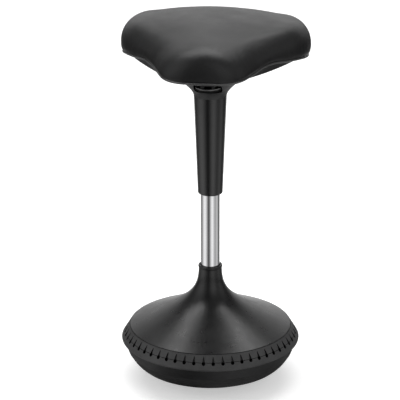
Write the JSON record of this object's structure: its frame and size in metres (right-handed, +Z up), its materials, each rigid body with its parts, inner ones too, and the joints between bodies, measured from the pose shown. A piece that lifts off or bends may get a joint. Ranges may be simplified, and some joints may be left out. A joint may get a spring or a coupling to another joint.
{
  "type": "wobble stool",
  "caption": "Height-adjustable wobble stool with a saddle-shaped cushioned seat, a tapered sliding column on a chromed gas lift, and a weighted round-bottomed base with a slotted band.",
  "frame": {"origin": "centre of the flat pad under the rounded base, on the floor", "axes": "+Z up along the column, the nose of the seat towards -Y, +X to the right of someone who faces the nose from the front"},
  "size_m": [0.3796, 0.3587, 0.7369],
  "materials": {
    "black_plastic": "satin",
    "band_plastic": "matte",
    "shell_plastic": "matte",
    "sole_rubber": "matte",
    "iron": "matte",
    "black_steel": "satin",
    "zinc_steel": "satin",
    "chrome_tube": "polished",
    "white_plastic": "satin",
    "seal_rubber": "matte",
    "bearing_steel": "polished",
    "column_plastic": "satin",
    "collar_plastic": "matte",
    "lever_plastic": "satin",
    "cover_cloth": "satin",
    "pan_plastic": "matte",
    "plywood": "matte"
  },
  "bodies": {
    "base": {"base_cover": "black_plastic", "toothed_ring": "band_plastic", "socket_ring": "band_plastic", "base_shell": "shell_plastic", "sole": "sole_rubber", "ballast": "iron", "hub_socket": "black_steel", "hub_bolts": "zinc_steel", "cover_screws": "zinc_steel", "outer_tube": "chrome_tube", "guide_bush": "white_plastic", "dust_ring": "seal_rubber", "lower_race": "bearing_steel"},
    "turning_rod": {"piston_rod": "bearing_steel", "piston": "white_plastic", "upper_race": "bearing_steel", "bumper": "seal_rubber", "retaining_clip": "bearing_steel"},
    "bearing_cage": {"ball_cage": "bearing_steel"},
    "seat": {"pressure_tube": "black_steel", "rod_seal": "seal_rubber", "valve_body": "white_plastic", "column": "column_plastic", "column_bush": "white_plastic", "seat_collar": "collar_plastic", "seat_bracket": "black_steel", "pivot_pin": "zinc_steel", "cushion": "cover_cloth", "seat_pan": "pan_plastic", "pan_screws": "zinc_steel", "plate_bolts": "zinc_steel", "seat_board": "plywood"},
    "lever": {"release_lever": "lever_plastic"},
    "valve_pin": {"release_pin": "bearing_steel"}
  },
  "joints": [
    {"name": "swivel", "type": "hinge", "parent": "base", "child": "turning_rod", "pos_m": [0, 0, 0.02], "axis": [0, 0, 1], "continuous": true},
    {"name": "cage_roll", "type": "hinge", "parent": "base", "child": "bearing_cage", "pos_m": [0, 0, 0.02], "axis": [0, 0, 1], "continuous": true},
    {"name": "seat_height", "type": "slide", "parent": "turning_rod", "child": "seat", "axis": [0, 0, 1], "range_m": [-0.15, 0.05]},
    {"name": "lever_lift", "type": "hinge", "parent": "seat", "child": "lever", "pos_m": [0, -0.0245, 0.6309], "axis": [-1, 0, 0], "range_deg": [0, 7], "stiffness_Nm_per_rad": 2, "springref_deg": -5.73},
    {"name": "pin_press", "type": "slide", "parent": "seat", "child": "valve_pin", "axis": [0, 0, -1], "range_m": [0, 0.0031]}
  ],
  "couplings": [
    {"joint": "cage_roll", "follows": "swivel", "ratio": 0.5},
    {"joint": "pin_press", "follows": "lever_lift", "m_per_rad": 0.025}
  ]
}
